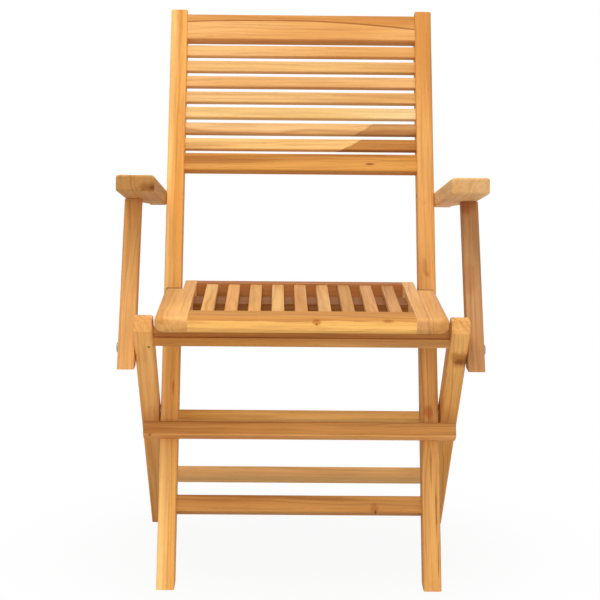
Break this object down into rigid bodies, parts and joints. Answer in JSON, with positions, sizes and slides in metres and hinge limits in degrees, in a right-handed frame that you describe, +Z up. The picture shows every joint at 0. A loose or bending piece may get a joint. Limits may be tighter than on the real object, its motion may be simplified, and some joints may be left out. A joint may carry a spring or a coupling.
{
  "type": "folding armchair",
  "caption": "Folding wooden garden armchair with a horizontally slatted back, a slatted seat, crossed legs and strutted armrests.",
  "frame": {"origin": "on the floor, under the middle of the bounding box of the open chair", "axes": "+X across the chair to the right seen from the front, -Y towards the front, +Z up"},
  "size_m": [0.565, 0.5636, 0.8875],
  "materials": {
    "teak": "sanded, lightly oiled teak",
    "bolt_steel": "dull galvanised steel",
    "hinge_brass": "aged brass"
  },
  "bodies": {
    "back_frame": {"arm_bolt_left": "bolt_steel", "arm_bolt_right": "bolt_steel", "arm_nut_left": "bolt_steel", "arm_nut_right": "bolt_steel", "back_bottom_rail": "teak", "back_slat_1": "teak", "back_slat_2": "teak", "back_slat_3": "teak", "back_slat_4": "teak", "back_slat_5": "teak", "back_slat_6": "teak", "back_slat_7": "teak", "back_top_rail": "teak", "leg_bolt_left": "bolt_steel", "leg_bolt_right": "bolt_steel", "leg_nut_left": "bolt_steel", "leg_nut_right": "bolt_steel", "leg_washer_left": "bolt_steel", "leg_washer_right": "bolt_steel", "low_stretcher": "teak", "post_left": "teak", "post_right": "teak", "seat_hinge_post_leaf_left": "hinge_brass", "seat_hinge_post_leaf_right": "hinge_brass", "stop_bar": "teak"},
    "arm_left": {"arm_left": "teak", "strut_hinge_arm_leaf_left": "hinge_brass"},
    "arm_right": {"arm_right": "teak", "strut_hinge_arm_leaf_right": "hinge_brass"},
    "strut_left": {"arm_strut_left": "teak", "strut_bolt_left": "bolt_steel", "strut_hinge_strut_leaf_left": "hinge_brass"},
    "strut_right": {"arm_strut_right": "teak", "strut_bolt_right": "bolt_steel", "strut_hinge_strut_leaf_right": "hinge_brass"},
    "leg_frame": {"leg_crossbar": "teak", "leg_left": "teak", "leg_lower_rung": "teak", "leg_right": "teak", "leg_upper_rung": "teak"},
    "seat": {"seat_batten": "teak", "seat_front_rail": "teak", "seat_hinge_seat_leaf_left": "hinge_brass", "seat_hinge_seat_leaf_right": "hinge_brass", "seat_rear_rail": "teak", "seat_side_rail_left": "teak", "seat_side_rail_right": "teak", "seat_slat_1": "teak", "seat_slat_2": "teak", "seat_slat_3": "teak", "seat_slat_4": "teak", "seat_slat_5": "teak", "seat_slat_6": "teak", "seat_slat_7": "teak", "seat_slat_8": "teak", "seat_slat_9": "teak"}
  },
  "joints": [
    {"name": "leg_fold", "type": "hinge", "parent": "back_frame", "child": "leg_frame", "pos_m": [0, -0.06126, 0.25231], "axis": [-1, 0, 0], "range_deg": [0, 56]},
    {"name": "seat_fold", "type": "hinge", "parent": "back_frame", "child": "seat", "pos_m": [0, 0.00757, 0.439], "axis": [-1, 0, 0], "range_deg": [0, 114.2]},
    {"name": "arm_fold_left", "type": "hinge", "parent": "back_frame", "child": "arm_left", "pos_m": [-0.2359, 0.10558, 0.57853], "axis": [-1, 0, 0], "range_deg": [0, 57.34]},
    {"name": "strut_fold_left", "type": "hinge", "parent": "arm_left", "child": "strut_left", "pos_m": [-0.2665, -0.02867, 0.58501], "axis": [-1, 0, 0], "range_deg": [-81.39, 0]},
    {"name": "arm_fold_right", "type": "hinge", "parent": "back_frame", "child": "arm_right", "pos_m": [0.2359, 0.10558, 0.57853], "axis": [-1, 0, 0], "range_deg": [0, 57.34]},
    {"name": "strut_fold_right", "type": "hinge", "parent": "arm_right", "child": "strut_right", "pos_m": [0.2665, -0.02867, 0.58501], "axis": [-1, 0, 0], "range_deg": [-81.39, 0]}
  ],
  "couplings": [
    {"joint": "seat_fold", "follows": "leg_fold", "ratio": 2.0357},
    {"joint": "arm_fold_left", "follows": "leg_fold", "ratio": 1.0204},
    {"joint": "strut_fold_left", "follows": "leg_fold", "ratio": -1.4498},
    {"joint": "arm_fold_right", "follows": "leg_fold", "ratio": 1.0204},
    {"joint": "strut_fold_right", "follows": "leg_fold", "ratio": -1.4498}
  ]
}
